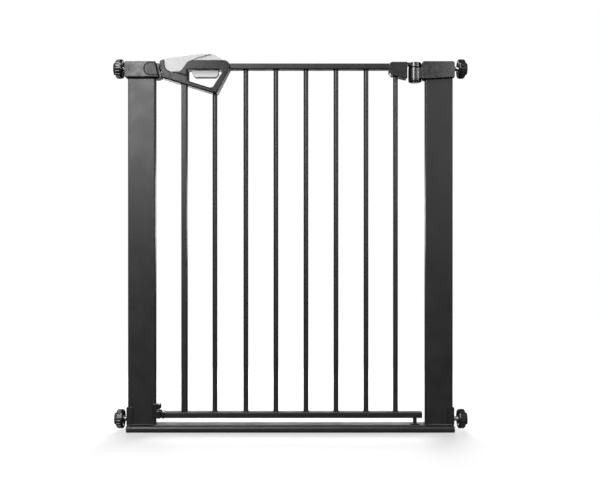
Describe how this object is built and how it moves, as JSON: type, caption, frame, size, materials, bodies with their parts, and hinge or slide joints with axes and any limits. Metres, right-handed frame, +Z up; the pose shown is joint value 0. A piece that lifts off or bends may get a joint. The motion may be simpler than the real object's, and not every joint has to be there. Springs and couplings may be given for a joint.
{
  "type": "safety baby gate",
  "caption": "Pressure-fit child safety gate for a doorway or stair: steel U-frame, lift-and-swing barred door, two-action latch handle and screw-out wall pads.",
  "frame": {"origin": "on the floor under the middle of the gate, at the bottom centre of its box", "axes": "+X along the doorway towards the hinge post, +Y through the doorway towards the back, +Z up"},
  "size_m": [0.728, 0.043, 0.7758],
  "materials": {
    "powder_coat": "matt graphite powder coat with a fine orange peel",
    "black_plastic": "moulded black plastic with a fine spark texture",
    "grey_plastic": "light grey moulded plastic, satin",
    "white_nylon": "natural nylon",
    "zinc_steel": "bright zinc plate",
    "spring_steel": "drawn spring wire",
    "pad_rubber": "matt black rubber"
  },
  "bodies": {
    "frame": {"left_post": "powder_coat", "right_post": "powder_coat", "base_front_tube": "powder_coat", "base_rear_tube": "powder_coat", "base_end_plugs": "black_plastic", "latch_cap": "black_plastic", "latch_cap_insert": "black_plastic", "hinge_cap": "black_plastic", "cap_screws": "zinc_steel", "lower_left_fitting": "black_plastic", "lower_right_fitting": "black_plastic", "spindle_nuts": "zinc_steel", "lower_catch": "black_plastic", "lower_hinge_bush": "black_plastic"},
    "lift_sleeve": {"hinge_sleeve": "white_nylon", "hinge_spring": "spring_steel"},
    "door": {"top_rail": "powder_coat", "bottom_rail": "powder_coat", "latch_stile": "powder_coat", "bar_1": "powder_coat", "bar_2": "powder_coat", "bar_3": "powder_coat", "bar_4": "powder_coat", "bar_5": "powder_coat", "bar_6": "powder_coat", "bar_7": "powder_coat", "bottom_rail_nose": "black_plastic", "bottom_rail_end_cap": "black_plastic", "lower_hinge_pin": "zinc_steel", "hinge_bracket": "black_plastic", "hinge_pin": "zinc_steel", "handle_front_shell": "black_plastic", "handle_rear_shell": "black_plastic", "handle_screws": "zinc_steel", "bolt_spring": "spring_steel", "slider_spring": "spring_steel", "trigger_spring": "spring_steel"},
    "bolt": {"latch_bolt": "black_plastic", "latch_pin": "zinc_steel"},
    "slider": {"release_slider": "grey_plastic"},
    "trigger": {"trigger": "grey_plastic"},
    "pad_upper_left": {"wall_pad_upper_left": "pad_rubber"},
    "wheel_upper_left": {"tension_wheel_upper_left": "black_plastic", "spindle_upper_left": "zinc_steel"},
    "pad_upper_right": {"wall_pad_upper_right": "pad_rubber"},
    "wheel_upper_right": {"tension_wheel_upper_right": "black_plastic", "spindle_upper_right": "zinc_steel"},
    "pad_lower_left": {"wall_pad_lower_left": "pad_rubber"},
    "wheel_lower_left": {"tension_wheel_lower_left": "black_plastic", "spindle_lower_left": "zinc_steel"},
    "pad_lower_right": {"wall_pad_lower_right": "pad_rubber"},
    "wheel_lower_right": {"tension_wheel_lower_right": "black_plastic", "spindle_lower_right": "zinc_steel"}
  },
  "joints": [
    {"name": "gate_lift", "type": "slide", "parent": "frame", "child": "lift_sleeve", "axis": [0, 0, 1], "range_m": [0, 0.01]},
    {"name": "gate_swing", "type": "hinge", "parent": "lift_sleeve", "child": "door", "pos_m": [0.257, 0, 0.73], "axis": [0, 0, 1], "range_deg": [-90, 90], "stiffness_Nm_per_rad": 0.6},
    {"name": "trigger_squeeze", "type": "slide", "parent": "door", "child": "trigger", "axis": [0, 0, 1], "range_m": [0, 0.006], "stiffness_N_per_m": 600, "springref_m": -0.004, "deforming": ["trigger_spring"]},
    {"name": "bolt_retract", "type": "slide", "parent": "door", "child": "bolt", "axis": [1, 0, 0], "range_m": [0, 0.009], "stiffness_N_per_m": 300, "springref_m": -0.004, "deforming": ["bolt_spring"]},
    {"name": "thumb_slide", "type": "slide", "parent": "door", "child": "slider", "axis": [1, 0, 0], "range_m": [0, 0.006], "stiffness_N_per_m": 300, "springref_m": -0.004, "deforming": ["slider_spring"]},
    {"name": "screw_out_upper_left", "type": "slide", "parent": "frame", "child": "pad_upper_left", "axis": [-1, 0, 0], "range_m": [0, 0.051]},
    {"name": "wheel_turn_upper_left", "type": "hinge", "parent": "pad_upper_left", "child": "wheel_upper_left", "pos_m": [-0.354, 0, 0.747], "axis": [-1, 0, 0], "range_deg": [0, 12240]},
    {"name": "screw_out_upper_right", "type": "slide", "parent": "frame", "child": "pad_upper_right", "axis": [1, 0, 0], "range_m": [0, 0.051]},
    {"name": "wheel_turn_upper_right", "type": "hinge", "parent": "pad_upper_right", "child": "wheel_upper_right", "pos_m": [0.354, 0, 0.747], "axis": [1, 0, 0], "range_deg": [0, 12240]},
    {"name": "screw_out_lower_left", "type": "slide", "parent": "frame", "child": "pad_lower_left", "axis": [-1, 0, 0], "range_m": [0, 0.053]},
    {"name": "wheel_turn_lower_left", "type": "hinge", "parent": "pad_lower_left", "child": "wheel_lower_left", "pos_m": [-0.354, 0, 0.025], "axis": [-1, 0, 0], "range_deg": [0, 12720]},
    {"name": "screw_out_lower_right", "type": "slide", "parent": "frame", "child": "pad_lower_right", "axis": [1, 0, 0], "range_m": [0, 0.051]},
    {"name": "wheel_turn_lower_right", "type": "hinge", "parent": "pad_lower_right", "child": "wheel_lower_right", "pos_m": [0.354, 0, 0.025], "axis": [1, 0, 0], "range_deg": [0, 12240]}
  ],
  "couplings": [
    {"joint": "bolt_retract", "follows": "trigger_squeeze", "ratio": 1.5},
    {"joint": "wheel_turn_upper_left", "follows": "screw_out_upper_left", "rad_per_m": 4188.8},
    {"joint": "wheel_turn_upper_right", "follows": "screw_out_upper_right", "rad_per_m": 4188.8},
    {"joint": "wheel_turn_lower_left", "follows": "screw_out_lower_left", "rad_per_m": 4188.8},
    {"joint": "wheel_turn_lower_right", "follows": "screw_out_lower_right", "rad_per_m": 4188.8}
  ]
}
